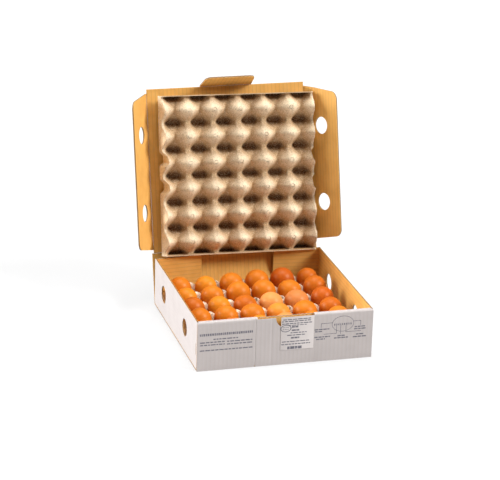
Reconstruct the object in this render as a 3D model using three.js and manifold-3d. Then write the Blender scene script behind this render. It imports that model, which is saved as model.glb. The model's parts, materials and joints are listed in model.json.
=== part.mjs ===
// Corrugated egg box with its lid open: a moulded pulp tray with thirty brown eggs stands in
// the box, and a second, empty tray leans in the lid. Millimetres, +Z up, front of the box at -Y.
// The origin is the middle of the box's underside.
import * as THREE from "three";
import { mergeVertices } from "three/addons/utils/BufferGeometryUtils.js";
import Module from "manifold-3d";

const wasm = await Module();
wasm.setup();

// ---------------------------------------------------------------- driving dimensions

const BOARD = 3; // corrugated board
const GAP = 0.3; // between pieces that touch
const BOX_W = 316;
const BOX_D = 314;
const WALL_H = 90;

const FOLD_T = 11; // front wall, rolled over on itself
const FOLD_R = 3.5; // rounding of the rolled edge
const SLOT_W = 102; // slot for the lid's tab, in the rolled edge
const THUMB_R = 18.5; // thumb notch in the outer layer
const VENT_R = 16; // round vents in side walls and lid flaps
const VENT_Z = 46;
const VENT_Y = [-68, 88];

const BACK_LEAN = 16; // degrees the back wall has opened outwards
const BACK_L = 96; // from the floor to the lid's crease
const CORNER_W = 88; // flap turned in behind the eggs at each back corner
const CORNER_H = 89.5;
const CORNER_TURN = 5; // degrees the corner flap has sprung back

const LID_TILT = 15; // degrees behind upright
const LID_LEFT = -155;
const LID_RIGHT = 144;
const LID_L = 299.5;
const CREASE = BOARD / 2 + GAP; // from a fixed edge to the pivot line of what folds on it

const FLAP_W = 81; // side flaps of the lid
const FLAP_FROM = [4, 13]; // lower edge along the lid, at the crease and at the outer edge
const FLAP_TO = [292, 279]; // upper edge, the same way
const FLAP_R = 14;
const FLAP_VENTS = [76, 218];
const FLAP_VENT_IN = 38;
const FLAP_FOLD_LEFT = 60; // degrees folded towards the front
const FLAP_FOLD_RIGHT = 36;
const FLAP_BEND_AT = 16; // where the right flap is bent, pushed out by the rim of the tray
const FLAP_BEND_RIGHT = 28; // degrees

const TAB_W = 98;
const TAB_TOP_W = 92;
const TAB_L = 45;
const TAB_R = 11;
const TAB_FOLD = 70;
const TAB_X = -5;

const LABEL = { x: [-9.5, 50], z: [27, 88.5], t: 0.5 };

const TRAY = 294; // side of the square tray
const TRAY_H = 45;
const PULP = 3; // wall, measured upright
const PITCH = TRAY / 6.1;
const RIM_Z = 12; // upper face of the rim over the tray's feet
const FIRST_CELL = [0.55, 1.05]; // first pocket from the rim, in pitches, across and deep
const SADDLE = 0.5; // height of the ridge between two posts, of the height of a post
const POST_POWER = 0.75; // under 1 makes the posts stand full
const TIP = 0.965; // where the posts are blunt
const SKIRT = 0.25; // outer slope of the half posts at the sides, in pitches
const END_BLEND = 0.22; // end skirt, in pitches
const FINGER = { at: [2.4, 3.45], half: 0.3, depth: 7 }; // finger notches in the side rims

const LOWER_TRAY_X = -3;
const LOWER_TRAY_Y = 4;
const SPARE_TRAY_X = 7.4;
const SPARE_TRAY_UP = 137.5; // its middle along the lid, from the crease
const SPARE_TRAY_TURN = 1.15; // degrees askew in the lid, clockwise seen from the front

const EGG_R = [ // row by row from the back, left to right
  [20.9, 20.4, 22.0, 22.4, 22.9, 20.2],
  [20.4, 21.5, 22.3, 22.3, 22.3, 21.4],
  [21.0, 20.7, 21.6, 21.6, 22.4, 21.0],
  [20.4, 21.6, 22.2, 21.4, 22.2, 21.0],
  [20.1, 20.0, 20.4, 20.0, 19.9, 21.1],
];
const EGG_ROUND = { // length over radius of the rounder eggs
  egg_r1_c3: 2.54,
  egg_r2_c5: 2.40,
  egg_r3_c3: 2.32,
  egg_r3_c4: 2.44,
  egg_r3_c5: 2.30,
  egg_r4_c3: 2.40,
  egg_r4_c4: 2.38,
  egg_r4_c5: 2.30,
};
const EGG_SLIM = [2.52, 2.68]; // length over radius of the others
const EGG_TAPER = 0.13; // how much wider the blunt end is
const EGG_LEAN = [3, 9]; // degrees
const EGG_TURN = [-135, -45]; // degrees: most eggs lean to the left
const EGG_SHIFT = 0.8;

const rad = THREE.MathUtils.degToRad;

// ---------------------------------------------------------------- colours

const paint = (color, roughness) => new THREE.MeshStandardMaterial({ color, roughness, metalness: 0 });
const KRAFT = paint("#c9985a", 0.9);
const WHITE_BOARD = paint("#d9d4d2", 0.8);
const PAPER = paint("#efefef", 0.6);
const PULP_BEIGE = paint("#c9a98a", 0.95);
const EGG_SHADES = ["#d98a4e", "#c9713a", "#b9602c", "#e0a070"].map((shade) => paint(shade, 0.5));

// ---------------------------------------------------------------- helpers

// One closed skin: shared corners merged, collapsed triangles dropped, faces turned outwards.
function weld(geometry) {
  geometry.deleteAttribute("normal");
  geometry.deleteAttribute("uv");
  const merged = mergeVertices(geometry, 1e-4);
  const from = merged.index.array;
  const kept = [];
  for (let i = 0; i < from.length; i += 3) {
    const [a, b, c] = [from[i], from[i + 1], from[i + 2]];
    if (a !== b && b !== c && c !== a) kept.push(a, b, c);
  }
  merged.setIndex(signedVolume(merged, kept) < 0 ? kept.reverse() : kept);
  return merged;
}

function signedVolume(geometry, index) {
  const corner = [0, 1, 2].map(() => new THREE.Vector3());
  let volume = 0;
  for (let i = 0; i < index.length; i += 3) {
    corner.forEach((point, k) => point.fromBufferAttribute(geometry.attributes.position, index[i + k]));
    volume += corner[0].dot(corner[1].clone().cross(corner[2])) / 6;
  }
  return volume;
}

function solid(geometry) {
  const skin = weld(geometry);
  return new wasm.Manifold(new wasm.Mesh({
    numProp: 3,
    vertProperties: Float32Array.from(skin.attributes.position.array),
    triVerts: Uint32Array.from(skin.index.array),
  }));
}

function joined(geometries) {
  return geometries.map(solid).reduce((whole, piece) => whole.add(piece));
}

function cutFrom(whole, geometries) {
  return geometries.map(solid).reduce((rest, piece) => rest.subtract(piece), whole);
}

function toGeometry(manifold) {
  const mesh = manifold.getMesh();
  const geometry = new THREE.BufferGeometry();
  geometry.setAttribute("position", new THREE.BufferAttribute(Float32Array.from(mesh.vertProperties), 3));
  geometry.setIndex(Array.from(mesh.triVerts));
  return geometry;
}

// A block between two values on each axis.
function block([x0, x1], [y0, y1], [z0, z1]) {
  return new THREE.BoxGeometry(x1 - x0, y1 - y0, z1 - z0)
    .translate((x0 + x1) / 2, (y0 + y1) / 2, (z0 + z1) / 2);
}

// A flat outline in X and Z, as a board whose middle plane is y = 0.
function board(outline, thickness = BOARD) {
  return new THREE.ExtrudeGeometry(outline, { depth: thickness, bevelEnabled: false, curveSegments: 6 })
    .translate(0, 0, -thickness / 2)
    .rotateX(Math.PI / 2);
}

// The rounded edge that a folding board turns on, along X or Z.
function creaseRod(length) {
  return new THREE.CylinderGeometry(BOARD / 2, BOARD / 2, length, 12);
}

function addMesh(parent, name, geometry, material) {
  const mesh = new THREE.Mesh(geometry, material);
  mesh.name = name;
  parent.add(mesh);
  return mesh;
}

function mulberry(seed) {
  let state = seed;
  return () => {
    state = (state + 0x6d2b79f5) | 0;
    let t = Math.imul(state ^ (state >>> 15), 1 | state);
    t = (t + Math.imul(t ^ (t >>> 7), 61 | t)) ^ t;
    return ((t ^ (t >>> 14)) >>> 0) / 4294967296;
  };
}

// ---------------------------------------------------------------- the box

const FRONT = -BOX_D / 2;
const BACK = BOX_D / 2;
const SIDE = BOX_W / 2;

// The rolled front wall: two layers with a gap between, closed by a rounded fold on top.
function frontWall() {
  const inner = FRONT + FOLD_T;
  const profile = new THREE.Shape();
  profile.moveTo(FRONT, 0);
  profile.lineTo(FRONT, WALL_H - FOLD_R);
  profile.absarc(FRONT + FOLD_R, WALL_H - FOLD_R, FOLD_R, Math.PI, Math.PI / 2, true);
  profile.lineTo(inner - FOLD_R, WALL_H);
  profile.absarc(inner - FOLD_R, WALL_H - FOLD_R, FOLD_R, Math.PI / 2, 0, true);
  profile.lineTo(inner, 0);
  profile.lineTo(inner - BOARD, 0);
  profile.lineTo(inner - BOARD, WALL_H - BOARD);
  profile.lineTo(FRONT + BOARD, WALL_H - BOARD);
  profile.lineTo(FRONT + BOARD, 0);
  return new THREE.ExtrudeGeometry(profile, { depth: BOX_W, bevelEnabled: false, curveSegments: 4 })
    .rotateX(Math.PI / 2)
    .rotateZ(Math.PI / 2)
    .translate(-SIDE, 0, 0);
}

// The back wall, opened outwards on its lower crease.
function backWall() {
  return block([-SIDE, SIDE], [-BOARD, 0], [0, BACK_L - CREASE])
    .rotateX(-rad(BACK_LEAN))
    .translate(0, BACK, 0);
}

// A corner flap stands on the side wall's end and stops short of the leaning back wall.
function cornerFlap(side) {
  const flap = block([0, CORNER_W], [-BOARD, 0], [BOARD + 0.5, CORNER_H])
    .rotateZ(rad(CORNER_TURN))
    .scale(-side, 1, 1)
    .translate(side * (SIDE - 1), BACK, 0);
  const behind = block([-BOX_W, BOX_W], [-BOARD - GAP, BOX_D], [-BOX_D, BOX_D])
    .rotateX(-rad(BACK_LEAN))
    .translate(0, BACK, 0);
  return cutFrom(solid(flap), [behind]);
}

function sideVent(side, y) {
  return new THREE.CylinderGeometry(VENT_R, VENT_R, 4 * BOARD, 24)
    .rotateZ(Math.PI / 2)
    .translate(side * (SIDE - BOARD / 2), y, VENT_Z);
}

function cartonBase() {
  const walls = joined([
    block([-SIDE, SIDE], [FRONT, BACK], [0, BOARD]),
    block([-SIDE, -SIDE + BOARD], [FRONT + 1, BACK], [0, WALL_H]),
    block([SIDE - BOARD, SIDE], [FRONT + 1, BACK], [0, WALL_H]),
    frontWall(),
    backWall(),
  ]).add(cornerFlap(-1)).add(cornerFlap(1));
  const slot = block([-SLOT_W / 2, SLOT_W / 2], [FRONT + BOARD, FRONT + FOLD_T - BOARD],
    [WALL_H - 2 * BOARD, WALL_H + BOARD]);
  const thumb = new THREE.CylinderGeometry(THUMB_R, THUMB_R, BOARD + 1, 24)
    .translate(0, FRONT + BOARD / 2, WALL_H);
  const vents = [-1, 1].flatMap((side) => VENT_Y.map((y) => sideVent(side, y)));
  return toGeometry(cutFrom(walls, [slot, thumb, ...vents]));
}

// ---------------------------------------------------------------- the lid

function lidPanel() {
  const outline = new THREE.Shape();
  outline.moveTo(LID_LEFT, 0);
  outline.lineTo(LID_RIGHT, 0);
  outline.lineTo(LID_RIGHT, LID_L);
  outline.lineTo(LID_LEFT, LID_L);
  const rod = creaseRod(LID_RIGHT - LID_LEFT).rotateZ(Math.PI / 2).translate((LID_LEFT + LID_RIGHT) / 2, 0, 0);
  return toGeometry(joined([board(outline), rod]));
}

// A side flap, drawn from its crease at x = 0 outwards along +X, and bent along a second line.
function sideFlap(bend) {
  const straight = FLAP_W - FLAP_R;
  const outer = straight - FLAP_BEND_AT;
  const lowEnd = FLAP_FROM[1] - 1;
  const highEnd = FLAP_TO[1] + 2;
  const low = THREE.MathUtils.lerp(FLAP_FROM[0], lowEnd, FLAP_BEND_AT / straight);
  const high = THREE.MathUtils.lerp(FLAP_TO[0], highEnd, FLAP_BEND_AT / straight);
  const strip = new THREE.Shape();
  strip.moveTo(0, FLAP_FROM[0]);
  strip.lineTo(FLAP_BEND_AT, low);
  strip.lineTo(FLAP_BEND_AT, high);
  strip.lineTo(0, FLAP_TO[0]);
  const outline = new THREE.Shape();
  outline.moveTo(0, low);
  outline.lineTo(outer, lowEnd);
  outline.quadraticCurveTo(outer + FLAP_R - 1, FLAP_FROM[1], outer + FLAP_R, FLAP_FROM[1] + FLAP_R);
  outline.lineTo(outer + FLAP_R, FLAP_TO[1] - FLAP_R);
  outline.quadraticCurveTo(outer + FLAP_R, FLAP_TO[1], outer, highEnd);
  outline.lineTo(0, high);
  for (const along of FLAP_VENTS) {
    const vent = new THREE.Path();
    vent.absarc(FLAP_VENT_IN - FLAP_BEND_AT, along, VENT_R, 0, 2 * Math.PI, true);
    outline.holes.push(vent);
  }
  const rod = (from, to) => creaseRod(to - from).rotateX(Math.PI / 2).translate(0, 0, (from + to) / 2);
  return joined([
    board(strip),
    rod(FLAP_FROM[0], FLAP_TO[0]),
    rod(low, high).translate(FLAP_BEND_AT, 0, 0),
    board(outline).rotateZ(-rad(bend)).translate(FLAP_BEND_AT, 0, 0),
  ]);
}

// The tab that tucks into the front slot, drawn from its crease at z = 0 upwards.
function lockTab() {
  const outline = new THREE.Shape();
  outline.moveTo(-TAB_W / 2, 0);
  outline.lineTo(TAB_W / 2, 0);
  outline.lineTo(TAB_TOP_W / 2, TAB_L - TAB_R);
  outline.quadraticCurveTo(TAB_TOP_W / 2, TAB_L, TAB_TOP_W / 2 - TAB_R, TAB_L);
  outline.lineTo(TAB_R - TAB_TOP_W / 2, TAB_L);
  outline.quadraticCurveTo(-TAB_TOP_W / 2, TAB_L, -TAB_TOP_W / 2, TAB_L - TAB_R);
  return toGeometry(joined([board(outline), creaseRod(TAB_W).rotateZ(Math.PI / 2)]));
}

// ---------------------------------------------------------------- the pulp trays

const clamp01 = (value) => Math.min(1, Math.max(0, value));
const smooth = (value) => value * value * (3 - 2 * value);

// Height of the tray's upper face over its feet, with u and v in pitches from two rims.
function trayHeight(u, v) {
  const wave = (Math.cos(2 * Math.PI * (u - FIRST_CELL[1])) + Math.cos(2 * Math.PI * (v - FIRST_CELL[0]))) / 2;
  const rise = wave > 0
    ? SADDLE + (1 - SADDLE) * Math.min(wave, TIP) ** POST_POWER
    : SADDLE * (1 + wave);
  const lattice = PULP + (TRAY_H - PULP) * rise;
  const fromEnd = Math.min(v, TRAY / PITCH - v);
  const fromSide = Math.min(u, TRAY / PITCH - u);
  const ends = RIM_Z + (lattice - RIM_Z) * smooth(clamp01(fromEnd / END_BLEND));
  const skirt = RIM_Z + (TRAY_H - RIM_Z) * clamp01((fromSide - 0.04) / (SKIRT - 0.04));
  return Math.min(ends, skirt);
}

// Lines of the tray's grid: close together at the rims, then four to a pitch.
function gridLines(nearRim) {
  const span = TRAY / PITCH;
  const lines = [...nearRim];
  for (let at = 0.55; at < span - 0.5; at += 0.25) lines.push(at);
  return [...lines, ...nearRim.map((at) => span - at).reverse()];
}

const U_LINES = gridLines([0, 0.05, 0.25]);
const V_LINES = gridLines([0, 0.05, 0.2, 0.36]);

// How far a side rim is cut in for the fingers.
function fingerCut(v) {
  const nearest = Math.min(...FINGER.at.map((at) => Math.abs(v - at)));
  return FINGER.depth * smooth(clamp01(1.5 * (1 - nearest / FINGER.half)));
}

function trayPoint(iu, iv) {
  const [u, v] = [U_LINES[iu], V_LINES[iv]];
  const cut = fingerCut(v);
  const shift = iu < 2 ? cut : iu > U_LINES.length - 3 ? -cut : 0;
  return new THREE.Vector3(u * PITCH - TRAY / 2 + shift, TRAY / 2 - v * PITCH, trayHeight(u, v));
}

// The tray, feet at z = 0 and centred on its square. Row one of its pockets is at +Y.
function pulpTray() {
  const across = U_LINES.length;
  const deep = V_LINES.length;
  const points = [];
  for (const drop of [0, PULP]) {
    for (let iv = 0; iv < deep; iv += 1) {
      for (let iu = 0; iu < across; iu += 1) {
        const point = trayPoint(iu, iv);
        points.push(point.x, point.y, point.z - drop);
      }
    }
  }
  const under = across * deep;
  const faces = [];
  const quad = (a, b, c, d) => faces.push(a, b, c, a, c, d);
  for (let iv = 0; iv < deep - 1; iv += 1) {
    for (let iu = 0; iu < across - 1; iu += 1) {
      const a = iv * across + iu;
      const b = a + across;
      quad(a, b, b + 1, a + 1);
      faces.push(under + a, under + b + 1, under + b, under + a, under + a + 1, under + b + 1);
    }
  }
  const rim = [];
  for (let iu = 0; iu < across - 1; iu += 1) rim.push(iu);
  for (let iv = 0; iv < deep - 1; iv += 1) rim.push(iv * across + across - 1);
  for (let iu = across - 1; iu > 0; iu -= 1) rim.push((deep - 1) * across + iu);
  for (let iv = deep - 1; iv > 0; iv -= 1) rim.push(iv * across);
  rim.forEach((a, i) => {
    const b = rim[(i + 1) % rim.length];
    quad(a, b, under + b, under + a);
  });
  const geometry = new THREE.BufferGeometry();
  geometry.setAttribute("position", new THREE.Float32BufferAttribute(points, 3));
  geometry.setIndex(faces);
  return weld(geometry);
}

// Height of the faceted tray under a point, from the triangle that it lies over.
function facetHeight(x, y) {
  const u = (x + TRAY / 2) / PITCH;
  const v = (TRAY / 2 - y) / PITCH;
  const iu = Math.min(U_LINES.length - 2, U_LINES.findLastIndex((line) => line <= u));
  const iv = Math.min(V_LINES.length - 2, V_LINES.findLastIndex((line) => line <= v));
  const a = (u - U_LINES[iu]) / (U_LINES[iu + 1] - U_LINES[iu]);
  const b = (v - V_LINES[iv]) / (V_LINES[iv + 1] - V_LINES[iv]);
  const h = (du, dv) => trayHeight(U_LINES[iu + du], V_LINES[iv + dv]);
  return a > b
    ? h(0, 0) + a * (h(1, 0) - h(0, 0)) + b * (h(1, 1) - h(1, 0))
    : h(0, 0) + b * (h(0, 1) - h(0, 0)) + a * (h(1, 1) - h(0, 1));
}

// ---------------------------------------------------------------- the eggs

// Half an egg's outline from the narrow end below to the blunt end on top.
function eggProfile(radius, length, steps) {
  const points = [];
  for (let i = 0; i <= steps; i += 1) {
    const angle = (Math.PI * i) / steps;
    const t = -Math.cos(angle);
    points.push(new THREE.Vector2(radius * Math.sin(angle) * (1 + EGG_TAPER * t) ** 1.2, (length / 2) * t));
  }
  points[0].x = 0;
  points[steps].x = 0;
  return points;
}

function eggShape(egg, around, steps) {
  return new THREE.LatheGeometry(eggProfile(egg.radius, egg.length, steps), around)
    .rotateX(Math.PI / 2)
    .rotateX(rad(egg.lean))
    .rotateZ(egg.turn);
}

// How high an egg's middle comes when it is let down into its pocket, over the tray's feet.
function seat(egg) {
  const skin = eggShape(egg, 32, 24).attributes.position;
  let height = 0;
  for (let i = 0; i < skin.count; i += 1) {
    if (skin.getZ(i) < egg.length / 4) {
      height = Math.max(height, facetHeight(egg.x + skin.getX(i), egg.y + skin.getY(i)) - skin.getZ(i));
    }
  }
  return height + GAP + 0.15;
}

function pickEggs() {
  const random = mulberry(30);
  const between = ([low, high]) => low + (high - low) * random();
  const eggs = [];
  EGG_R.forEach((sizes, row) => sizes.forEach((radius, col) => {
    const name = `egg_r${row + 1}_c${col + 1}`;
    const slim = between(EGG_SLIM);
    eggs.push({
      name,
      radius,
      length: radius * (EGG_ROUND[name] ?? slim),
      lean: between(EGG_LEAN),
      turn: rad(between(EGG_TURN)),
      x: (FIRST_CELL[0] + col) * PITCH - TRAY / 2 + between([-EGG_SHIFT, 0]),
      y: TRAY / 2 - (FIRST_CELL[1] + row) * PITCH + between([-EGG_SHIFT, EGG_SHIFT]),
      shade: Math.floor(random() * EGG_SHADES.length),
    });
  }));
  return eggs;
}

// ---------------------------------------------------------------- assembly

const group = new THREE.Group();

addMesh(group, "carton_base", cartonBase(), WHITE_BOARD);
addMesh(group, "front_label", weld(block(LABEL.x, [FRONT - GAP - LABEL.t, FRONT - GAP], LABEL.z)), PAPER);

const lower = new THREE.Group();
lower.position.set(LOWER_TRAY_X, LOWER_TRAY_Y, BOARD + GAP);
group.add(lower);
addMesh(lower, "lower_tray", pulpTray(), PULP_BEIGE);
for (const egg of pickEggs()) {
  const mesh = addMesh(lower, egg.name, weld(eggShape(egg, 12, 8)), EGG_SHADES[egg.shade]);
  mesh.position.set(egg.x, egg.y, seat(egg));
}

// Everything on the lid is placed from its crease: x across, z up the panel, -y out of it.
const lid = new THREE.Group();
lid.position.set(0, BACK + BACK_L * Math.sin(rad(BACK_LEAN)) - (BOARD / 2) * Math.cos(rad(BACK_LEAN)),
  BACK_L * Math.cos(rad(BACK_LEAN)) + (BOARD / 2) * Math.sin(rad(BACK_LEAN)));
lid.rotation.x = -rad(LID_TILT);
group.add(lid);
addMesh(lid, "lid_panel", lidPanel(), KRAFT);

const leftFlap = addMesh(lid, "lid_flap_left", weld(toGeometry(sideFlap(0)).scale(-1, 1, 1)), KRAFT);
leftFlap.position.x = LID_LEFT - CREASE;
leftFlap.rotation.z = rad(FLAP_FOLD_LEFT);

const rightFlap = addMesh(lid, "lid_flap_right", toGeometry(sideFlap(FLAP_BEND_RIGHT)), KRAFT);
rightFlap.position.x = LID_RIGHT + CREASE;
rightFlap.rotation.z = -rad(FLAP_FOLD_RIGHT);

const tab = addMesh(lid, "lock_tab", lockTab(), KRAFT);
tab.position.set(TAB_X, 0, LID_L + CREASE);
tab.rotation.x = rad(TAB_FOLD);

const spare = addMesh(lid, "spare_tray", pulpTray(), PULP_BEIGE);
spare.position.set(SPARE_TRAY_X, -BOARD / 2 - GAP, SPARE_TRAY_UP);
spare.rotation.set(Math.PI / 2, 0, -rad(SPARE_TRAY_TURN));

export default group;
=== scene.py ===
"""Open corrugated egg box: a pulp tray with brown eggs in the box, and an empty tray in its lid."""

import json
import random
from math import atan2, cos, hypot, pi, radians, sin

import bmesh
import bpy
import numpy as np
from bpy.props import FloatProperty, FloatVectorProperty, IntProperty, PointerProperty
from bpy.types import Operator, Panel, PropertyGroup
from mathutils import Matrix, Vector, noise


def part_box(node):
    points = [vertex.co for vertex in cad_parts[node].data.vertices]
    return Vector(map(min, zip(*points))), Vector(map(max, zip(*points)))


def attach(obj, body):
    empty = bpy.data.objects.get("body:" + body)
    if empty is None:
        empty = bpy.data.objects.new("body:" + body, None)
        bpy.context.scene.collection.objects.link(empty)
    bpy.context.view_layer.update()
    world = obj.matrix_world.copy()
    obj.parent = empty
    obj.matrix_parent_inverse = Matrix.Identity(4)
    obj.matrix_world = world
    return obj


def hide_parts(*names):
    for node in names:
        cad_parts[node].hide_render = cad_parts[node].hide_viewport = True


bl_info = {
    "name": "Egg box with trays",
    "version": (1, 0, 0),
    "blender": (4, 5, 0),
    "location": "View3D > Sidebar > Egg box",
    "description": "Dresses an open egg box: board, pulp trays, eggs, label and stage",
    "category": "Object",
}

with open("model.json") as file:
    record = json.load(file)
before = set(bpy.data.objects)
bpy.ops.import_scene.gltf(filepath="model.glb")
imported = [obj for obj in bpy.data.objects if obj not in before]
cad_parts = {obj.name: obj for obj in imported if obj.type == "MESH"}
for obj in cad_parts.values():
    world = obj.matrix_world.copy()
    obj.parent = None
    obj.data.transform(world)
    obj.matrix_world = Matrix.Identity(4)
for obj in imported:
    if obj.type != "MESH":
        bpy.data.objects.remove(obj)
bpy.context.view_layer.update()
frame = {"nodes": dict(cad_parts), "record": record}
MM = 0.001

# ---- places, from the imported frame

JOINTS = {joint["name"]: joint for joint in frame["record"]["behaviour"]["joints"]}
LID_PIVOT = Vector(JOINTS["lid_hinge"]["pos_m"])
LEFT_CREASE = Vector(JOINTS["flap_left_fold"]["pos_m"])
RIGHT_CREASE = Vector(JOINTS["flap_right_fold"]["pos_m"])
TAB_CREASE = Vector(JOINTS["tab_fold"]["pos_m"])
TAB_CREASE.x = sum(corner.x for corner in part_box("lock_tab")) / 2
UP_THE_LID = Vector(JOINTS["flap_left_fold"]["axis"])
LID_TILT = atan2(UP_THE_LID.y, UP_THE_LID.z)

BOX_LOW, BOX_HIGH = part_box("carton_base")
HALF_W = BOX_HIGH.x
FRONT = BOX_LOW.y
BACK = -BOX_LOW.y
TRAY_LOW, TRAY_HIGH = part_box("lower_tray")
TRAY = TRAY_HIGH.x - TRAY_LOW.x
LABEL_LOW, LABEL_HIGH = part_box("front_label")

# ---- sizes of the box

BOARD = 3 * MM
BOARD_SMOOTH = 22  # degrees between faces that are shaded as one
SOFT_RIM = 0.3 * MM
ROUND_STEPS = 8
VENT_SIDES = 40
CREASE_STEPS = 6
CREASE_ROUND = 0.49  # of the board: nearly half, so that the edge along a crease is a round one
GRID = 9 * MM  # between the cuts that let a board bow
FRONT_GRID, FOLD_GRID = 8 * MM, 0.62 * MM
BEFORE_FOLD, PAST_FOLD, AFTER_FOLD = 0.5 * MM, 0.6 * MM, 1 * MM  # where the fold's closer cuts take over
BEND_HALF = 4 * MM  # half the width of the arc over which a board bends
BOW_SCALE, SEED_STEP = 9, 3.7  # bows in a metre, and how far apart two panels' bows are taken
RIPPLE, RIPPLE_TIMES = 0.25, 4  # a finer ripple: its share of the bow, and how much finer it is

WALL_H = 90 * MM
BOTTOM_IN = 0.2 * MM
FOLD_T = 11 * MM  # through the rolled front wall
FOLD_R = 3.5 * MM
INNER_SHORT = 3.3 * MM  # the rolled front's inner layer stops this far over the bottom
SLOT_HALF = 51 * MM
SLOT_IN = 1 * MM
THUMB_R = 18.5 * MM
THUMB_STEP = 12  # degrees
VENT_R = 16 * MM
VENT_Z = 46 * MM
VENT_Y = (-68 * MM, 88 * MM)
BACK_LEAN = radians(16)
BACK_L = 94.2 * MM
BACK_FOOT = 0.5 * MM
CORNER_W = 88 * MM
CORNER_H = 89.5 * MM
CORNER_FOOT = 26 * MM
CORNER_IN = 1 * MM
CORNER_R = 5 * MM
CORNER_TURN = radians(5)
# Creases pressed into the front by use: where they run, and how deep they are.
FRONT_CREASES = ((-54.6 * MM, 0.5 * MM), (-25.5 * MM, 0.2 * MM), (52 * MM, 0.15 * MM))
FRONT_CREASE_HALF = 0.9 * MM

# ---- sizes of the lid

LID_LEFT = -155 * MM
LID_RIGHT = 144 * MM
LID_L = 299.7 * MM
FLAP_W = 80.4 * MM
FLAP_FOOT = (4 * MM, 13 * MM)  # up the lid, at the crease and at the free edge
FLAP_HEAD = (292 * MM, 279 * MM)
FLAP_R = 13 * MM
FLAP_FOLD = {"left": radians(60), "right": radians(36)}
FLAP_BEND = {"left": 0.0, "right": radians(28)}  # where the spare tray's rim pushes the flap out
FLAP_BEND_AT = 16 * MM
FLAP_VENTS = (76 * MM, 218 * MM)
FLAP_VENT_IN = 38 * MM
TAB_HALF = (49 * MM, 46 * MM)
TAB_L = 44.6 * MM
TAB_R = 11 * MM
TAB_CLEAR = 0.03 * MM
TAB_FOLD = radians(70)
SPARE_TRAY_X = 7.4 * MM
SPARE_TRAY_UP = 137.5 * MM
SPARE_TRAY_TURN = radians(1.15)
TOUCH = 0.3 * MM


# ---- what a user would change

def colour(name, description, default):
    return FloatVectorProperty(name=name, description=description, subtype="COLOR", size=3, min=0, max=1,
                               default=default)


def length(name, description, default):
    return FloatProperty(name=name, description=description, default=default, unit="LENGTH", precision=5)


def angle(name, description, degrees):
    return FloatProperty(name=name, description=description, default=radians(degrees), subtype="ANGLE")


def amount(name, description, default):
    return FloatProperty(name=name, description=description, default=default, min=0)


class EggBoxBoardSettings(PropertyGroup):
    thickness: length("Board", "Thickness of the corrugated board", BOARD)
    liner: length("Liner", "Thickness of the paper on each face", 0.4 * MM)
    flute_pitch: length("Flute pitch", "From one flute to the next", 7.4 * MM)
    wave: length("Waviness", "How far a panel bows out of its plane", 0.35 * MM)
    white: colour("White liner", "Outside of the box", (0.505, 0.455, 0.438))
    kraft: colour("Kraft liner", "Inside of the box", (0.81, 0.445, 0.115))
    kraft_dark: colour("Kraft shade", "Darker clouds in the kraft", (0.72, 0.375, 0.088))


class EggBoxTraySettings(PropertyGroup):
    height: length("Height", "From the feet to the tips of the posts", 45 * MM)
    wall: length("Wall", "Thickness of the pulp, measured upright", 3 * MM)
    rim: length("Rim", "Height of the rim over the feet", 12 * MM)
    lump: length("Lumps", "How uneven the moulded surface is", 0.4 * MM)
    # pale is painted light on the tips and ridges, and also the colour of pale fibres; deep is painted
    # shade low in the pockets.
    pale: colour("Pale pulp", "Rubbed tips and ridges", (0.94, 0.79, 0.57))
    mid: colour("Pulp", "Most of the tray", (0.585, 0.38, 0.20))
    deep: colour("Dark pulp", "Low in the pockets", (0.20, 0.09, 0.03))
    cells: IntProperty(name="Grid", description="Cells of the modelled surface on each side", default=216,
                       min=60)


class EggBoxEggSettings(PropertyGroup):
    amber: colour("Amber", "Yellow-orange shell", (0.640, 0.202, 0.011))
    orange: colour("Orange", "Orange-brown shell", (0.565, 0.150, 0.008))
    brown: colour("Brown", "Deep orange-brown shell", (0.490, 0.108, 0.006))
    russet: colour("Russet", "Darkest shell", (0.465, 0.085, 0.005))
    peach: colour("Peach", "Pale shell", (0.655, 0.250, 0.062))
    honey: colour("Honey", "Pale yellow-orange shell", (0.680, 0.225, 0.026))
    rose: colour("Rose", "Pinkish pale shell", (0.570, 0.190, 0.048))
    gloss: FloatProperty(name="Roughness", description="Roughness of the shell", default=0.43, min=0, max=1,
                         subtype="FACTOR")


class EggBoxPrintSettings(PropertyGroup):
    ink: colour("Ink", "Printed bars and lines", (0.13, 0.125, 0.15))
    paper: colour("Label", "Paper of the front label", (0.635, 0.58, 0.56))


class EggBoxStageSettings(PropertyGroup):
    azimuth: angle("Azimuth", "Camera to the left of the front", 16.207)
    elevation: angle("Elevation", "Camera above the horizon", 20.388)
    roll: angle("Roll", "Camera turned about its own axis", 1.761)
    distance: length("Distance", "Camera to the aim", 3.86179)
    lens: FloatProperty(name="Lens", description="Focal length", subtype="DISTANCE_CAMERA", default=155.15)
    aim: FloatVectorProperty(name="Aim", description="Middle of the picture", subtype="XYZ", unit="LENGTH",
                             size=3, default=(-0.010739, 0.046281, 0.156327))
    floor: colour("Floor", "Plain pale floor", (0.28, 0.28, 0.28))
    glow: amount("Floor glow", "Light given off by the lit table", 0.60)
    sky: amount("Surround", "Strength of the white surround", 0.06)
    top: amount("Top light", "Strength of the light overhead", 2.5)
    right: amount("Right light", "Strength of the light at the right", 3.3)
    left: amount("Left light", "Strength of the light at the left", 4.2)


def settings(name):
    """The user's settings of one group."""
    return getattr(bpy.context.scene, "eggbox_" + name)


def half_board():
    """From a board's middle to either face."""
    return settings("board").thickness / 2


# ---- building helpers

def finish_piece(bm, name, material, body, nodes, smooth_below):
    """Turns a bmesh into a finished piece that rides on a body and stands for CAD nodes."""
    bmesh.ops.recalc_face_normals(bm, faces=bm.faces[:])
    mesh = bpy.data.meshes.new(name)
    bm.to_mesh(mesh)
    bm.free()
    mesh.polygons.foreach_set("use_smooth", [True] * len(mesh.polygons))
    mesh.set_sharp_from_angle(angle=radians(smooth_below))
    mesh.materials.append(material)
    piece = bpy.data.objects.new(name, mesh)
    bpy.context.scene.collection.objects.link(piece)
    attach(piece, body)
    if nodes:
        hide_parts(*nodes)
    return piece


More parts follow.
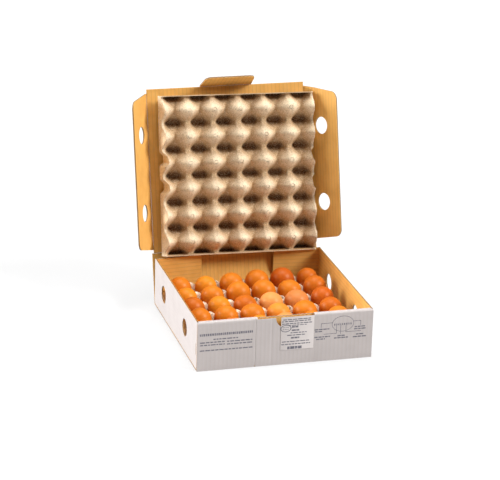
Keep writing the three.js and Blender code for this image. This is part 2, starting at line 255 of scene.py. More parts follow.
def cut_in_strips(bm, axis, lines):
    """Adds cuts across a mesh at the given values of one axis."""
    normal = Vector((0, 0, 0))
    normal[axis] = 1
    for at in lines:
        geometry = bm.verts[:] + bm.edges[:] + bm.faces[:]
        bmesh.ops.bisect_plane(bm, geom=geometry, dist=1e-7, plane_co=normal * at, plane_no=normal)


def span(low, high, step):
    """Evenly spaced values between two ends, about a step apart and without the ends."""
    count = max(2, round((high - low) / step))
    return [low + (high - low) * i / count for i in range(1, count)]


def extrude_all(bm, offset):
    """Gives a sheet its other face, moved by the offset, and the walls between the two."""
    grown = bmesh.ops.extrude_face_region(bm, geom=bm.faces[:], use_keep_orig=True)
    moved = [item for item in grown["geom"] if isinstance(item, bmesh.types.BMVert)]
    bmesh.ops.translate(bm, verts=moved, vec=offset)
    return moved


def round_edges(bm, edges, width, steps):
    bmesh.ops.bevel(bm, geom=edges, offset=width, segments=steps, profile=0.5, affect="EDGES",
                    clamp_overlap=True, material=-1)


def rectangle(x0, x1, z0, z1):
    """Corners of an upright rectangle, from its lower left."""
    return [(x0, z0), (x1, z0), (x1, z1), (x0, z1)]


def blank(outline, rounds=(), round_holes=(), cut_holes=(), thickness=BOARD, soften=SOFT_RIM, crease=None):
    """A flat board in X and Z, centred on y = 0, with rounded corners and holes.

    rounds gives corner numbers and radii. crease gives an axis and a value on it, where the board's
    long edges are fully rounded.
    """
    bm = bmesh.new()
    corners = [bm.verts.new((x, 0, z)) for x, z in outline]
    bm.faces.new(corners)
    for numbers, radius in rounds:
        bmesh.ops.bevel(bm, geom=[corners[i] for i in numbers], offset=radius, segments=ROUND_STEPS,
                        profile=0.5, affect="VERTICES", material=-1)
    bmesh.ops.delete(bm, geom=bm.faces[:], context="FACES_ONLY")
    flat = Matrix.Rotation(radians(90), 4, "X")
    for x, z, radius in round_holes:
        bmesh.ops.create_circle(bm, cap_ends=False, radius=radius, segments=VENT_SIDES,
                                matrix=Matrix.Translation((x, 0, z)) @ flat)
    for hole in cut_holes:
        ring = [bm.verts.new((x, 0, z)) for x, z in hole]
        for a, b in zip(ring, ring[1:] + ring[:1]):
            bm.edges.new((a, b))
    bmesh.ops.triangle_fill(bm, use_beauty=True, use_dissolve=False, edges=bm.edges[:], normal=(0, 1, 0))
    extrude_all(bm, (0, thickness, 0))
    bmesh.ops.translate(bm, verts=bm.verts[:], vec=(0, -thickness / 2, 0))
    bmesh.ops.recalc_face_normals(bm, faces=bm.faces[:])
    if crease:
        axis, at = crease
        long_edges = [e for e in bm.edges if all(abs(v.co[axis] - at) < 1e-6 for v in e.verts)
                      and abs(e.verts[0].co.y - e.verts[1].co.y) < 1e-6]
        round_edges(bm, long_edges, thickness * CREASE_ROUND, CREASE_STEPS)
    rims = [e for e in bm.edges if len(e.link_faces) == 2 and e.calc_face_angle(0) > radians(60)]
    round_edges(bm, rims, soften, 2)
    return bm


def mark_board(bm, flutes_up):
    """Stores each point's place in the board: across the flutes, through the board, along the flutes."""
    layer = bm.verts.layers.float_vector.new("board")
    for vert in bm.verts:
        across, along = (vert.co.x, vert.co.z) if flutes_up else (vert.co.z, vert.co.x)
        vert[layer] = Vector((across, vert.co.y, along))


def bow(bm, most, seed):
    """Lets a panel bow a little out of its plane."""
    for vert in bm.verts:
        at = Vector((vert.co.x * BOW_SCALE, seed * SEED_STEP, vert.co.z * BOW_SCALE))
        vert.co.y += most * (noise.noise(at) + RIPPLE * noise.noise(at * RIPPLE_TIMES))


def bend(bm, side, at, turn):
    """Bends a board towards its inside along an upright line, over a short arc."""
    arc = 2 * BEND_HALF
    radius = arc / turn
    start = at - BEND_HALF
    for vert in bm.verts:
        out = side * vert.co.x - start
        if out <= 0:
            continue
        turned = min(out, arc) / radius
        beyond = max(0.0, out - arc)
        reach = radius + vert.co.y
        x = reach * sin(turned) + beyond * cos(turned)
        vert.co.y = reach * cos(turned) - radius - beyond * sin(turned)
        vert.co.x = side * (start + x)


def board_piece(name, bm, matrix, flutes_up, seed, body="base", node="carton_base",
                wave=1.0, bent=None):
    """Cuts a blank into a fine grid, bows it, bends it, and puts it in its place."""
    xs = [v.co.x for v in bm.verts]
    zs = [v.co.z for v in bm.verts]
    cut_in_strips(bm, 0, span(min(xs), max(xs), GRID))
    cut_in_strips(bm, 2, span(min(zs), max(zs), GRID))
    if bent:
        side, at, _ = bent
        cut_in_strips(bm, 0, [side * (at + k * BEND_HALF) for k in (-1, -0.5, 0, 0.5, 1)])
    mark_board(bm, flutes_up)
    bow(bm, settings("board").wave * wave, seed)
    if bent:
        bend(bm, *bent)
    bmesh.ops.transform(bm, matrix=matrix, verts=bm.verts[:])
    return finish_piece(bm, name, corrugated_board(), body, [node], BOARD_SMOOTH)


# ---- node helpers

SPECK_SOFT = 0.03


class Shading:
    """A material being wired up, with short words for the nodes that the finishes share."""

    def __init__(self, name):
        self.material = bpy.data.materials.new(name)
        self.material.use_nodes = True
        self.tree = self.material.node_tree
        self.tree.nodes.clear()
        self.shader = self.node("BsdfPrincipled")
        self.node("OutputMaterial", Surface=self.shader.outputs["BSDF"])

    def put(self, value, socket):
        """Links a socket to another, or sets its value."""
        if isinstance(value, bpy.types.NodeSocket):
            self.tree.links.new(value, socket)
        elif socket.type == "RGBA":
            socket.default_value = (*value, 1)
        else:
            socket.default_value = value

    def node(self, kind, **inputs):
        """A new node, with its inputs linked or set by name."""
        node = self.tree.nodes.new("ShaderNode" + kind)
        for name, value in inputs.items():
            self.put(value, node.inputs[name.replace("_", " ")])
        return node

    def math(self, operation, a, b=0.0):
        node = self.node("Math")
        node.operation = operation
        for value, socket in zip((a, b), node.inputs):
            self.put(value, socket)
        return node.outputs[0]

    def part_of(self, share, factor):
        """A factor turned down to a share of itself."""
        return self.math("MULTIPLY", factor, share)

    def blend(self, factor, a, b):
        node = self.node("Mix")
        node.data_type = "RGBA"
        node.clamp_factor = True
        for value, index in ((factor, 0), (a, 6), (b, 7)):
            self.put(value, node.inputs[index])
        return node.outputs[2]

    def stored(self, name):
        """The three parts of a vector stored on the mesh, and the vector itself."""
        node = self.node("Attribute")
        node.attribute_name = name
        vector = node.outputs["Vector"]
        return (*self.node("SeparateXYZ", Vector=vector).outputs, vector)

    def place(self):
        """The point on the object, in metres."""
        return self.node("TexCoord").outputs["Object"]

    def stretch(self, vector, scale):
        return self.node("Mapping", Vector=vector, Scale=scale).outputs[0]

    def clouds(self, vector, scale, detail=3, rough=0.55):
        return self.node("TexNoise", Vector=vector, Scale=scale, Detail=detail, Roughness=rough).outputs[0]

    def specks(self, vector, scale, size):
        """1 in small round specks, 0 between them."""
        node = self.node("TexVoronoi", Vector=vector, Scale=scale)
        return self.ramp(node.outputs["Distance"], size + SPECK_SOFT, size)

    def ramp(self, value, low, high, smooth=True):
        """Rises from 0 at low to 1 at high, which may be the smaller of the two."""
        first, last = (1.0, 0.0) if low > high else (0.0, 1.0)
        node = self.node("MapRange", Value=value, From_Min=min(low, high), From_Max=max(low, high),
                         To_Min=first, To_Max=last)
        node.interpolation_type = "SMOOTHSTEP" if smooth else "LINEAR"
        return node.outputs["Result"]

    def bump(self, height, distance, strength, under=None):
        node = self.node("Bump", Height=height, Distance=distance, Strength=strength)
        if under is not None:
            self.put(under, node.inputs["Normal"])
        return node.outputs[0]

    def finish(self, shade, roughness, specular, normal=None):
        self.put(shade, self.shader.inputs["Base Color"])
        self.put(roughness, self.shader.inputs["Roughness"])
        self.put(specular, self.shader.inputs["Specular IOR Level"])
        if normal is not None:
            self.put(normal, self.shader.inputs["Normal"])
        return self.material


def toned(shade, *factors):
    """A colour with each of its parts turned up or down."""
    return tuple(min(1.0, part * factor) for part, factor in zip(shade, factors))


def finish_named(title):
    """Names a finish, and makes its material only the first time that a piece asks for it."""

    def wrap(make):
        def find(*which):
            name = " ".join((title, *which))
            return bpy.data.materials.get(name) or make(Shading(name), *which)

        return find

    return wrap


# ---- finishes

@finish_named("corrugated board")
def corrugated_board(m):
    """White liner outside, kraft liner inside, and the flutes on every cut edge."""
    board = settings("board")
    across, through, _, vector = m.stored("board")
    half = board.thickness / 2
    wave = m.math("SINE", m.math("MULTIPLY", across, 2 * pi / board.flute_pitch))
    glue = m.ramp(wave, 0.55, 1.0)
    haze = m.clouds(vector, 28, 4)
    fibre = m.clouds(m.stretch(vector, (900, 900, 160)), 1.0, 3)
    kraft = m.blend(m.ramp(haze, 0.32, 0.72), board.kraft, board.kraft_dark)
    kraft = m.blend(m.part_of(0.35, m.ramp(fibre, 0.45, 0.8)), kraft, (0.68, 0.43, 0.20))
    kraft = m.blend(m.part_of(0.26, glue), kraft, (0.42, 0.22, 0.075))
    white = m.blend(m.ramp(haze, 0.35, 0.75), board.white, toned(board.white, 0.95, 0.95, 0.95))
    white = m.blend(m.part_of(0.16, glue), white, (0.55, 0.53, 0.56))
    scuff = m.math("MULTIPLY", m.specks(vector, 190, 0.09), m.ramp(m.clouds(vector, 40, 2), 0.56, 0.66))
    white = m.blend(m.part_of(0.5, scuff), white, (0.55, 0.45, 0.36))
    centre = m.part_of(half - 2.2 * board.liner, wave)
    gap = m.math("ABSOLUTE", m.math("SUBTRACT", through, centre))
    # Painted shade: the hollows between the flutes on a cut edge coloured dark brown, the flute paper
    # itself brown.
    flutes_and_painted_hollows = m.blend(m.ramp(gap, 0.28 * MM, 0.42 * MM), (0.50, 0.30, 0.13), (0.13, 0.065, 0.025))
    inside = m.ramp(through, -half + board.liner, -half + 1.3 * board.liner)
    body = m.blend(inside, kraft, flutes_and_painted_hollows)
    outside = m.ramp(through, half - 1.3 * board.liner, half - board.liner)
    shade = m.blend(outside, body, white)
    relief = m.math("ADD", m.part_of(0.5, wave), m.part_of(0.35, fibre))
    grain = m.clouds(vector, 1400, 2)
    normal = m.bump(grain, 0.05 * MM, 0.5, m.bump(relief, 0.10 * MM, 0.8))
    return m.finish(shade, m.ramp(haze, -0.6, 1.6, smooth=False), 0.2, normal)


@finish_named("moulded pulp")
def moulded_pulp(m):
    """Grey-brown recycled pulp: fibres and flecks, lighter tips as painted light, and dark pocket floors
    and holes as painted shade.
    """
    tray = settings("tray")
    across, deep, rise, _ = m.stored("pulp")
    hole = m.stored("holes")[0]
    place = m.place()
    cloud = m.clouds(place, 55, 4, 0.6)
    grain = m.clouds(place, 330, 3, 0.7)
    fibre = m.clouds(m.stretch(place, (420, 420, 900)), 1.0, 4, 0.65)
    fleck = m.clouds(place, 900, 2, 0.6)
    # Painted shade and light: darker low in the pockets, lighter towards the tips and ridges, by the stored
    # height value.
    shade = m.blend(m.ramp(rise, 0.05, 0.42), tray.deep, tray.mid)
    shade = m.blend(m.part_of(0.85, m.ramp(rise, 0.42, 0.98)), shade, tray.pale)
    # Painted light: whiter still where the value passes 1, on the lower tray's tips that sit in shade
    # between the eggs.
    shade = m.blend(m.ramp(rise, 1.0, 1.3), shade, (1.0, 0.84, 0.66))
    shade = m.blend(m.part_of(0.3, m.ramp(cloud, 0.4, 0.75)), shade, (0.50, 0.32, 0.18))
    shade = m.blend(m.part_of(0.45, m.ramp(grain, 0.50, 0.66)), shade, (0.36, 0.23, 0.13))
    shade = m.blend(m.part_of(0.55, m.ramp(fibre, 0.48, 0.66)), shade, tray.pale)
    shade = m.blend(m.part_of(0.7, m.ramp(fleck, 0.58, 0.70)), shade, (0.20, 0.13, 0.08))
    away = m.math("SQRT", m.math("ADD", m.math("POWER", across, 2.0), m.math("POWER", deep, 2.0)))
    ring = m.ramp(m.math("ABSOLUTE", m.math("SUBTRACT", away, RING_MARK_R)), 1.1 * MM, 0.3 * MM)
    worn = m.math("MULTIPLY", ring, m.ramp(m.clouds(place, 190, 2), 0.42, 0.58))
    shade = m.blend(m.part_of(0.75, worn), shade, (0.33, 0.22, 0.13))
    # Painted shade: the holes in the post tips coloured near black.
    shade = m.blend(hole, shade, (0.03, 0.02, 0.015))
    relief = m.math("ADD", m.part_of(0.7, fibre), m.part_of(0.5, fleck))
    normal = m.bump(relief, 1.0 * MM, 0.9, m.bump(grain, 1.6 * MM, 0.9))
    return m.finish(shade, 0.95, 0.12, normal)


@finish_named("egg shell")
def egg_shell(m, shade_name):
    """Satin shell with soft clouds of colour, fine pores and a few darker specks, lighter towards the top
    as painted light and deeper towards the bottom as painted shade.
    """
    eggs = settings("eggs")
    base = getattr(eggs, shade_name)
    tone, _, axial, _ = m.stored("shell")
    place = m.place()
    cloud = m.clouds(place, 45, 3)
    deeper = toned(base, 0.86, 0.76, 0.68)
    paler_tone_and_painted_top_light = toned(base, 1.10, 1.22, 1.42)
    shade = m.blend(m.part_of(0.6, m.ramp(cloud, 0.35, 0.7)), base, deeper)
    shade = m.blend(m.part_of(0.5, m.ramp(tone, 0.0, 1.0)), shade, paler_tone_and_painted_top_light)
    # Painted light: lighter towards the top of the egg.
    shade = m.blend(m.part_of(0.22, m.ramp(axial, -0.1, 1.0)), shade, paler_tone_and_painted_top_light)
    # Painted shade: deeper towards the bottom of the egg.
    painted_underside_shade = toned(base, 0.80, 0.60, 0.45)
    shade = m.blend(m.part_of(0.75, m.ramp(axial, 0.55, -0.45)), shade, painted_underside_shade)
    speck = m.math("MULTIPLY", m.specks(place, 260, 0.16), m.ramp(m.clouds(place, 90, 2), 0.55, 0.66))
    shade = m.blend(m.part_of(0.35, speck), shade, deeper)
    pores = m.clouds(place, 2600, 2)
    normal = m.bump(pores, 0.03 * MM, 0.5, m.bump(cloud, 0.25 * MM, 0.35))
    m.put(0.05, m.shader.inputs["Coat Weight"])
    m.put(0.25, m.shader.inputs["Coat Roughness"])
    m.put((1.0, 0.70, 0.42), m.shader.inputs["Specular Tint"])
    return m.finish(shade, eggs.gloss, 0.32, normal)


@finish_named("label paper")
def label_paper(m):
    """Matt white paper, faintly clouded."""
    paper = settings("print").paper
    place = m.place()
    cloud = m.clouds(place, 60, 3)
    shade = m.blend(m.ramp(cloud, 0.3, 0.8), paper, toned(paper, 0.95, 0.95, 0.95))
    normal = m.bump(m.clouds(place, 1800, 2), 0.02 * MM, 0.4, m.bump(cloud, 0.3 * MM, 0.3))
    return m.finish(shade, 0.5, 0.35, normal)


@finish_named("printing ink")
def printing_ink(m):
    """Dark ink, thin in places."""
    ink = settings("print").ink
    worn = m.clouds(m.place(), 1500, 3, 0.7)
    shade = m.blend(m.ramp(worn, 0.50, 0.74), ink, (0.50, 0.49, 0.51))
    return m.finish(shade, 0.7, 0.2, m.bump(worn, 0.02 * MM, 0.3))


# ---- the box

def front_fold(through, run):
    """Bends the front blank: up the outer layer, over the rounded fold, and down the inner layer."""
    half = half_board()
    radius = FOLD_R - half
    outer = FRONT + half
    inner = FRONT + FOLD_T - half
    shoulder = WALL_H - FOLD_R
    quarter = radius * pi / 2
    reach = radius + through
    flat = inner - outer - 2 * radius
    if run <= shoulder:
        return outer - through, run
    if run <= shoulder + quarter:
        turn = (run - shoulder) / radius
        return outer + radius - reach * cos(turn), shoulder + reach * sin(turn)
    if run <= shoulder + quarter + flat:
        return outer + radius + (run - shoulder - quarter), shoulder + reach
    if run <= shoulder + 2 * quarter + flat:
        turn = (run - shoulder - quarter - flat) / radius
        return inner - radius + reach * sin(turn), shoulder + reach * cos(turn)
    return inner + through, 2 * shoulder + 2 * quarter + flat - run


def rolled_front():
    """The front wall, one blank with the tab's slot and the thumb notch, rolled over on itself."""
    half = half_board()
    radius = FOLD_R - half
    shoulder = WALL_H - FOLD_R
    fold = radius * pi + FOLD_T - 2 * FOLD_R
    total = 2 * shoulder + fold - INNER_SHORT
    low, high = shoulder + SLOT_IN, shoulder + fold - SLOT_IN
    notch = [(THUMB_R * cos(radians(a)), low - THUMB_R * sin(radians(a)))
             for a in range(0, 181, THUMB_STEP)]
    slot = [(SLOT_HALF, low), (SLOT_HALF, high), (-SLOT_HALF, high), (-SLOT_HALF, low)] + notch[::-1]
    bm = blank(rectangle(-HALF_W, HALF_W, 0, total), cut_holes=[slot])
    outer_cuts = span(0, shoulder - BEFORE_FOLD, FRONT_GRID)
    fold_cuts = span(shoulder - PAST_FOLD, shoulder + fold + PAST_FOLD, FOLD_GRID)
    inner_cuts = span(shoulder + fold + AFTER_FOLD, total, FRONT_GRID)
    cut_in_strips(bm, 0, span(-HALF_W, HALF_W, GRID))
    cut_in_strips(bm, 2, outer_cuts + fold_cuts + inner_cuts)
    cut_in_strips(bm, 0, [at + k * FRONT_CREASE_HALF for at, _ in FRONT_CREASES for k in (-1, 0, 1)])
    mark_board(bm, flutes_up=True)
    for vert in bm.verts:
        x, through, run = vert.co
        for at, deep in FRONT_CREASES:
            if through > 0:
                through -= deep * max(0.0, 1 - abs(x - at) / FRONT_CREASE_HALF)
        y, z = front_fold(through, run)
        vert.co = (x, y, z)
    return finish_piece(bm, "box_front_wall", corrugated_board(), "base", ["carton_base"],
                        BOARD_SMOOTH)


class EGGBOX_OT_carton(Operator):
    """Makes the box: bottom, side walls with vents, rolled front, leaning back and corner flaps"""

    bl_idname = "eggbox.carton"
    bl_label = "Make the box"

    def execute(self, context):
        board = settings("board").thickness
        half = board / 2
        wide, low = HALF_W - BOTTOM_IN, FRONT + BOTTOM_IN
        bottom = blank(rectangle(-wide, wide, low, BACK))
        laid = Matrix(((1, 0, 0, 0), (0, 0, 1, 0), (0, -1, 0, half), (0, 0, 0, 1)))  # outer face down
        board_piece("box_bottom", bottom, laid, True, 1, wave=0)
        for side, name in ((-1, "left"), (1, "right")):
            turn = (Matrix.Translation((side * (HALF_W - half), 0, 0))
                    @ Matrix.Rotation(-side * radians(90), 4, "Z"))
            ends = sorted((-side * (FRONT + board), -side * BACK))
            wall = blank(rectangle(*ends, board, WALL_H),
                         round_holes=[(-side * vent, VENT_Z, VENT_R) for vent in VENT_Y])
            board_piece(f"box_wall_{name}", wall, turn, False, 2 + side)
        lean = (Matrix.Translation((0, BACK, 0)) @ Matrix.Rotation(-BACK_LEAN, 4, "X")
                @ Matrix.Translation((0, -half, 0)))
        back = blank(rectangle(-HALF_W, HALF_W, BACK_FOOT, BACK_L))
        board_piece("box_back_wall", back, lean, True, 5)
        for side, name in ((-1, "left"), (1, "right")):
            hinge_x = HALF_W - CORNER_IN
            ends = sorted((side * hinge_x, side * (hinge_x - CORNER_W)))
            flap = blank(rectangle(*ends, CORNER_FOOT, CORNER_H),
                         rounds=[((3,) if side > 0 else (2,), CORNER_R)])
            hinge = Vector((side * hinge_x, BACK, 0))
            turn = (Matrix.Translation(hinge) @ Matrix.Rotation(-side * CORNER_TURN, 4, "Z")
                    @ Matrix.Translation(-hinge + Vector((0, BACK - half, 0))))
            board_piece(f"box_corner_flap_{name}", flap, turn, False, 8 + side)
        rolled_front()
        return {"FINISHED"}


# ---- the lid

def lid_matrix():
    """The lid's place: X across, Y out of its outer side, Z up the lid from its hinge."""
    return Matrix.Translation(LID_PIVOT) @ Matrix.Rotation(-LID_TILT, 4, "X")


class EGGBOX_OT_lid(Operator):
    """Makes the lid: the panel, its two side flaps with vents, and the lock tab"""

    bl_idname = "eggbox.lid"
    bl_label = "Make the lid"

    def execute(self, context):
        half = half_board()
        panel = blank(rectangle(LID_LEFT, LID_RIGHT, -half, LID_L), crease=(2, -half))
        board_piece("lid_board", panel, lid_matrix(), True, 21, "lid", "lid_panel")
        for side, name, crease in ((-1, "left", LEFT_CREASE), (1, "right", RIGHT_CREASE)):
            shape = [(-half, FLAP_FOOT[0]), (FLAP_W, FLAP_FOOT[1]), (FLAP_W, FLAP_HEAD[1]),
                     (-half, FLAP_HEAD[0])]
            vents = [(side * FLAP_VENT_IN, along, VENT_R) for along in FLAP_VENTS]
            flap = blank([(side * px, pz) for px, pz in shape], rounds=[((1, 2), FLAP_R)],
                         round_holes=vents, crease=(0, -side * half))
            turn = (Matrix.Translation(crease) @ Matrix.Rotation(-LID_TILT, 4, "X")
                    @ Matrix.Rotation(-side * FLAP_FOLD[name], 4, "Z"))
            bent = (side, FLAP_BEND_AT, FLAP_BEND[name]) if FLAP_BEND[name] else None
            board_piece(f"lid_side_flap_{name}", flap, turn, True, 30 + side, f"flap_{name}",
                        f"lid_flap_{name}", bent=bent)
        wide, narrow = TAB_HALF
        foot = TAB_CLEAR - half
        tab = blank([(-wide, foot), (wide, foot), (narrow, TAB_L), (-narrow, TAB_L)],
                    rounds=[((2, 3), TAB_R)], crease=(2, foot))
        turn = Matrix.Translation(TAB_CREASE) @ Matrix.Rotation(TAB_FOLD - LID_TILT, 4, "X")
        board_piece("lid_lock_tab", tab, turn, True, 40, "tab", "lock_tab", wave=0)
        return {"FINISHED"}


# ---- the trays

# Places and widths across a tray are in pitches, from one post to the next, and heights without a
# unit are parts of the tray's height. A pair gives a value at a ridge's top and how far it falls.
PITCHES = 6.1
FIRST_ACROSS, FIRST_DEEP = 0.55, 1.05
DOME_ACROSS, DOME_DEEP = 0.05, 0.55
SADDLE = 0.5  # height between two posts
POST_POWER = 0.75
TIP = 0.965
CUP_POWER = 0.85
END_BLEND = 0.22
SKIRT = (0.04, 0.21)  # where a side's slope begins, and how wide it is

RIDGE_HALF = (0.085, 0.01)
RIDGE_SAG = 0.54
FLANK_REACH = (0.415, 0.21)
FLANK_POWER = 1.15
BARREL, BARREL_HALF, BARREL_POWER = 0.42, 0.44, 2.0
PIT_SOFT = 0.035
SEAM, SEAM_HALF, SEAM_FADE = 0.5 * MM, 0.025, 0.3
LIP, LIP_HALF = 28 * MM, 0.028
TURNED_SKIRT = (0.02, 0.08)
RING_MARK_R = 3.2 * MM

DRIFT, DRIFT_SCALE, DRIFT_FADE = 0.035, 24, 0.3  # the pattern wanders, but not near a rim
FINGER_AT, FINGER_HALF, FINGER_DEPTH = (2.4, 3.45), 0.3, 7 * MM
FINGER_FROM, FINGER_FADE, FINGER_STEEP = 0.05, 0.2, 1.5
# Painted light near the side rims: how light the pulp is painted there, and the width and start of its
# fade, in pitches.
RIM_PAINTED_LIGHT, RIM_WIDTH, RIM_START = 0.95, 0.2, 0.4
NO_RINGS = 0.4  # no ring marks this near a side rim
EDGE_FADE = 0.05

# Posts of the lower tray whose tips have a hole, as column and row, and how those posts differ.
HOLED_POSTS = ((2.0, 0.0), (3.04, 0.0), (2.02, 1.02), (3.06, 2.03), (4.06, 2.03), (4.06, 3.04))
HOLE_R, HOLE_EDGE, HOLE_DEEP = 3.2 * MM, 1.2 * MM, 11 * MM
HOLE_SHIFT = (-0.06, 0.03)
TALLER_POSTS = 3 * MM
TIP_FROM, TIP_FADE = 0.75, 0.2
LOWER_PAINTED_TIP_LIGHT = 1.35  # how much whiter its tips are painted, as painted light
LOWER_SEED, SPARE_SEED = 1.3, 7.9
LUMPS = ((60, 1.0), (170, 0.7), (420, 0.5))  # lumps in a metre, and how strong they are
PULP_SMOOTH = 70


def smoothstep(value):
    value = np.clip(value, 0, 1)
    return value * value * (3 - 2 * value)


def to_rim(value):
    """Distance to the nearer of two facing rims, in pitches."""
    return np.minimum(value, PITCHES - value)


def to_line(value, first):
    """Distance to the nearest of the lines that lie a pitch apart, in pitches."""
    return np.abs((value - first + 0.5) % 1 - 0.5)


def side_slope(u, start, width):
    """How high the surface may rise beside the side rims."""
    tray = settings("tray")
    return tray.rim + (tray.height - tray.rim) * np.clip((to_rim(u) - start) / width, 0, 1)


def tray_height(u, v):
    """Height of the tray's upper face over its feet, with u and v in pitches from two rims."""
    tray = settings("tray")
    wave = (np.cos(2 * np.pi * (u - FIRST_DEEP)) + np.cos(2 * np.pi * (v - FIRST_ACROSS))) / 2
    post = SADDLE + (1 - SADDLE) * np.minimum(np.maximum(wave, 0), TIP) ** POST_POWER
    cup = SADDLE * (1 - np.abs(wave) ** CUP_POWER)
    rise = np.where(wave > 0, post, cup)
    lattice = tray.wall + (tray.height - tray.wall) * rise
    ends = tray.rim + (lattice - tray.rim) * smoothstep(to_rim(v) / END_BLEND)
    return np.minimum(ends, side_slope(u, *SKIRT))


def turned_tray_height(u, v):
    """Height of a tray that is turned over: the undersides of its pockets, and deep pits between."""
    tray = settings("tray")
    across = to_line(u, DOME_ACROSS)
    deep = to_line(v, DOME_DEEP)
    sag = np.sin(np.pi * deep) ** 2
    reach = FLANK_REACH[0] - FLANK_REACH[1] * sag
    crown = RIDGE_HALF[0] - RIDGE_HALF[1] * sag
    flank = np.clip((across - crown) / reach, 0, 1) ** FLANK_POWER
    barrel = BARREL * (deep / BARREL_HALF) ** BARREL_POWER
    rise = 1 - (1 - BARREL) * flank - (1 - flank) * RIDGE_SAG * sag - flank * barrel
    rise = PIT_SOFT * np.logaddexp(0, rise / PIT_SOFT)
    lattice = tray.wall + (tray.height - tray.wall) * np.clip(rise, 0, 1)
    seam = np.exp(-(deep / SEAM_HALF) ** 2) * smoothstep(flank / SEAM_FADE)
    lattice = np.minimum(tray.height, lattice + SEAM * seam)
    lip = LIP * (1 - smoothstep((to_rim(v) - LIP_HALF) / LIP_HALF))
    return np.minimum(np.maximum(lattice, lip), side_slope(u, *TURNED_SKIRT))


def finger_cut(u, v):
    """How far a point near a side rim is drawn in for the fingers."""
    nearest = np.min([np.abs(v - at) for at in FINGER_AT], axis=0)
    cut = FINGER_DEPTH * smoothstep(FINGER_STEEP * (1 - nearest / FINGER_HALF))
    left = 1 - smoothstep((u - FINGER_FROM) / FINGER_FADE)
    right = 1 - smoothstep((PITCHES - u - FINGER_FROM) / FINGER_FADE)
    return cut * (left - right)


def wander(flat, seed, inner):
    """How far the pattern of pockets strays from its even spacing, in pitches, both ways."""
    drift = np.array([[noise.noise(Vector((x * DRIFT_SCALE, y * DRIFT_SCALE, seed + k))) for k in (5, 9)]
                      for x, y, _ in flat])
    return DRIFT * drift * np.clip(inner / DRIFT_FADE, 0, 1)[:, None]


def post_holes(u, v, posts):
    """1 in the holes of the given posts and 0 elsewhere."""
    depth = np.zeros(len(u))
    for col, row in posts:
        at_u = DOME_ACROSS + col + HOLE_SHIFT[0]
        at_v = DOME_DEEP + row + HOLE_SHIFT[1]
        away = np.hypot(u - at_u, v - at_v) * TRAY / PITCHES
        depth = np.maximum(depth, 1 - smoothstep((away - HOLE_R) / HOLE_EDGE))
    return depth


def pulp_tray(name, matrix, body, node, seed, shape, holed=(), painted_tip_light=1.0, taller=0.0):
    """A moulded tray: a grid lifted to its shape, made uneven, and given its wall."""
    tray = settings("tray")
    bm = bmesh.new()
    bmesh.ops.create_grid(bm, x_segments=tray.cells, y_segments=tray.cells, size=TRAY / 2)
    bm.verts.ensure_lookup_table()
    flat = np.array([v.co[:] for v in bm.verts])
    flat[:, :2] *= (TRAY / 2) / np.abs(flat[:, :2]).max()
    pitch = TRAY / PITCHES
    u = (flat[:, 0] + TRAY / 2) / pitch
    v = (TRAY / 2 - flat[:, 1]) / pitch
    from_side = to_rim(u)
    from_rim = np.minimum(from_side, to_rim(v))
    stray = wander(flat, seed, from_rim)
    rise = shape(u + stray[:, 0], v + stray[:, 1])
    rise = rise + taller * smoothstep((rise / tray.height - TIP_FROM) / TIP_FADE)
    depth = post_holes(u, v, holed)
    rise = rise - HOLE_DEEP * depth
    inward = finger_cut(u, v)
    give = np.minimum(1.0, from_rim / EDGE_FADE)
    across = np.where(from_side < NO_RINGS, pitch, to_line(u, DOME_ACROSS) * pitch)
    deep = to_line(v, DOME_DEEP) * pitch
    # Painted light and shade: a value that grows with height, lighter on tips and near the side rims, which
    # the pulp finish turns into colour.
    rim = 1 - smoothstep(from_side / RIM_WIDTH - RIM_START)
    painted_light_and_shade = np.maximum(painted_tip_light * rise / tray.height, RIM_PAINTED_LIGHT * rim)
    pulp = bm.verts.layers.float_vector.new("pulp")
    holes = bm.verts.layers.float.new("holes")
    for i, vert in enumerate(bm.verts):
        at = Vector((flat[i, 0], flat[i, 1], seed))
        lumps = sum(share * noise.noise(at * scale) for scale, share in LUMPS)
        height = min(tray.height + taller, rise[i] + tray.lump * lumps * give[i])
        vert.co = (flat[i, 0] + inward[i], flat[i, 1], height)
        vert[pulp] = Vector((across[i], deep[i], painted_light_and_shade[i]))
        vert[holes] = depth[i]
    for vert in extrude_all(bm, (0, 0, -tray.wall)):
        vert.co.z = max(0.0, vert.co.z)
    bmesh.ops.transform(bm, matrix=matrix, verts=bm.verts[:])
    return finish_piece(bm, name, moulded_pulp(), body, [node], PULP_SMOOTH)


class EGGBOX_OT_trays(Operator):
    """Makes the two moulded pulp trays"""

    bl_idname = "eggbox.trays"
    bl_label = "Make the pulp trays"

    def execute(self, context):
        half = half_board()
        middle = (TRAY_LOW + TRAY_HIGH) / 2
        lower = Matrix.Translation((middle.x, middle.y, TRAY_LOW.z))
        pulp_tray("pulp_tray_lower", lower, "base", "lower_tray", LOWER_SEED, tray_height,
                  holed=HOLED_POSTS, painted_tip_light=LOWER_PAINTED_TIP_LIGHT, taller=TALLER_POSTS)
        spare = (lid_matrix() @ Matrix.Translation((SPARE_TRAY_X, -half - TOUCH, SPARE_TRAY_UP))
                 @ Matrix.Rotation(radians(90), 4, "X") @ Matrix.Rotation(-SPARE_TRAY_TURN, 4, "Z"))
        pulp_tray("pulp_tray_spare", spare, "lid", "spare_tray", SPARE_SEED, turned_tray_height)
        return {"FINISHED"}


# ---- the eggs

EGG_TAPER, EGG_TAPER_POWER = 0.13, 1.2
EGG_RINGS, EGG_SIDES = 30, 44
EGG_LUMP, EGG_LUMP_SCALE, EGG_LUMP_APART = 0.004, 60, 50
EGG_SMOOTH = 80
EGG_SEED = 12
